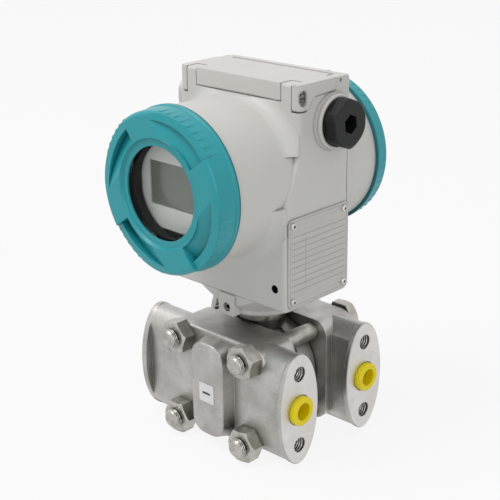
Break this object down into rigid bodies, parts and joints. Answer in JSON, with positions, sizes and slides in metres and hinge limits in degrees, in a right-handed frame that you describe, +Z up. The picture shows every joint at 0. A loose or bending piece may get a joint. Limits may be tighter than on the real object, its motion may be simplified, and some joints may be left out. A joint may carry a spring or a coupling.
{
  "type": "pressure transmitter",
  "caption": "Differential pressure transmitter: measuring cell bolted between two process flanges, with a turning housing that carries a display, terminals, covers and keys.",
  "frame": {"origin": "on the neck's axis, at the height of the process pads' lower ends", "axes": "+X to the process ports and the nameplate, -Y to the display, +Z up the neck"},
  "size_m": [0.1144, 0.1362, 0.2022],
  "materials": {
    "stainless": "satin, pickled",
    "zinc_steel": "satin",
    "grey_paint": "fine powder coat",
    "teal_paint": "fine powder coat",
    "plate_steel": "satin",
    "black_plastic": "matte",
    "black_rubber": "matte",
    "pale_plastic": "matte",
    "lcd": "gloss",
    "window": "clear",
    "yellow_plastic": "semi-gloss",
    "board": "solder mask",
    "label_white": "printed film",
    "ink_black": "ink",
    "key_grey": "matte",
    "nickel_brass": "satin"
  },
  "bodies": {
    "process_body": {"cell_body": "stainless", "sensor_neck": "stainless", "sensor_header": "nickel_brass", "neck_ring": "zinc_steel", "low_flange": "stainless", "high_flange": "stainless", "low_gasket": "black_rubber", "high_gasket": "black_rubber", "low_diaphragm": "stainless", "high_diaphragm": "stainless", "flange_bolts": "zinc_steel", "flange_nuts": "zinc_steel", "low_vent_screw": "zinc_steel", "high_vent_screw": "zinc_steel", "minus_label": "label_white", "minus_sign": "ink_black"},
    "head": {"housing": "grey_paint", "neck_seal": "black_rubber", "retaining_screw": "zinc_steel", "earth_clamp": "zinc_steel", "earth_screw": "zinc_steel", "nameplate": "plate_steel", "nameplate_rivets": "zinc_steel", "blanking_plug": "black_plastic", "plug_seal": "black_rubber", "steel_plug": "zinc_steel", "steel_plug_seal": "black_rubber", "electronics_module": "black_plastic", "module_screws": "zinc_steel", "display_board": "board", "display_connector": "pale_plastic", "display_frame": "pale_plastic", "lcd_panel": "lcd", "terminal_block": "pale_plastic", "terminal_block_screws": "zinc_steel", "terminal_screws": "nickel_brass", "inner_earth_screw": "zinc_steel", "key_plate": "pale_plastic", "hinge_pins": "zinc_steel"},
    "front_seal_ring": {"front_cover_seal": "black_rubber"},
    "window_cover": {"front_cover": "teal_paint", "window_gasket": "black_rubber", "window_glass": "window", "window_retainer": "black_plastic"},
    "rear_seal_ring": {"rear_cover_seal": "black_rubber"},
    "blind_cover": {"rear_cover": "teal_paint"},
    "key_cover": {"key_lid": "grey_paint", "lid_screws": "zinc_steel"},
    "mode_key_body": {"mode_key": "key_grey"},
    "down_key_body": {"down_key": "key_grey"},
    "up_key_body": {"up_key": "key_grey"},
    "low_cap": {"low_port_cap": "yellow_plastic"},
    "high_cap": {"high_port_cap": "yellow_plastic"}
  },
  "joints": [
    {"name": "head_turn", "type": "hinge", "parent": "process_body", "child": "head", "pos_m": [0, 0, 0.076], "axis": [0, 0, 1], "range_deg": [-180, 180]},
    {"name": "front_seal_slide", "type": "slide", "parent": "head", "child": "front_seal_ring", "axis": [0, -1, 0], "range_m": [0, 0.012]},
    {"name": "front_cover_turn", "type": "hinge", "parent": "front_seal_ring", "child": "window_cover", "pos_m": [0, 0, 0.1501], "axis": [0, -1, 0], "range_deg": [0, 2160]},
    {"name": "rear_seal_slide", "type": "slide", "parent": "head", "child": "rear_seal_ring", "axis": [0, 1, 0], "range_m": [0, 0.012]},
    {"name": "rear_cover_turn", "type": "hinge", "parent": "rear_seal_ring", "child": "blind_cover", "pos_m": [0, 0, 0.1501], "axis": [0, 1, 0], "range_deg": [0, 2160]},
    {"name": "lid_hinge", "type": "hinge", "parent": "head", "child": "key_cover", "pos_m": [0, 0.015, 0.1985], "axis": [-1, 0, 0], "range_deg": [0, 100]},
    {"name": "mode_key_press", "type": "slide", "parent": "head", "child": "mode_key_body", "axis": [0, 0, -1], "range_m": [0, 0.001], "stiffness_N_per_m": 400, "springref_m": -0.001},
    {"name": "down_key_press", "type": "slide", "parent": "head", "child": "down_key_body", "axis": [0, 0, -1], "range_m": [0, 0.001], "stiffness_N_per_m": 400, "springref_m": -0.001},
    {"name": "up_key_press", "type": "slide", "parent": "head", "child": "up_key_body", "axis": [0, 0, -1], "range_m": [0, 0.001], "stiffness_N_per_m": 400, "springref_m": -0.001},
    {"name": "low_cap_pull", "type": "slide", "parent": "process_body", "child": "low_cap", "axis": [1, 0, 0], "range_m": [0, 0.06]},
    {"name": "high_cap_pull", "type": "slide", "parent": "process_body", "child": "high_cap", "axis": [1, 0, 0], "range_m": [0, 0.06]}
  ],
  "couplings": [
    {"joint": "front_seal_slide", "follows": "front_cover_turn", "m_per_rad": 0.00031831},
    {"joint": "rear_seal_slide", "follows": "rear_cover_turn", "m_per_rad": 0.00031831}
  ]
}
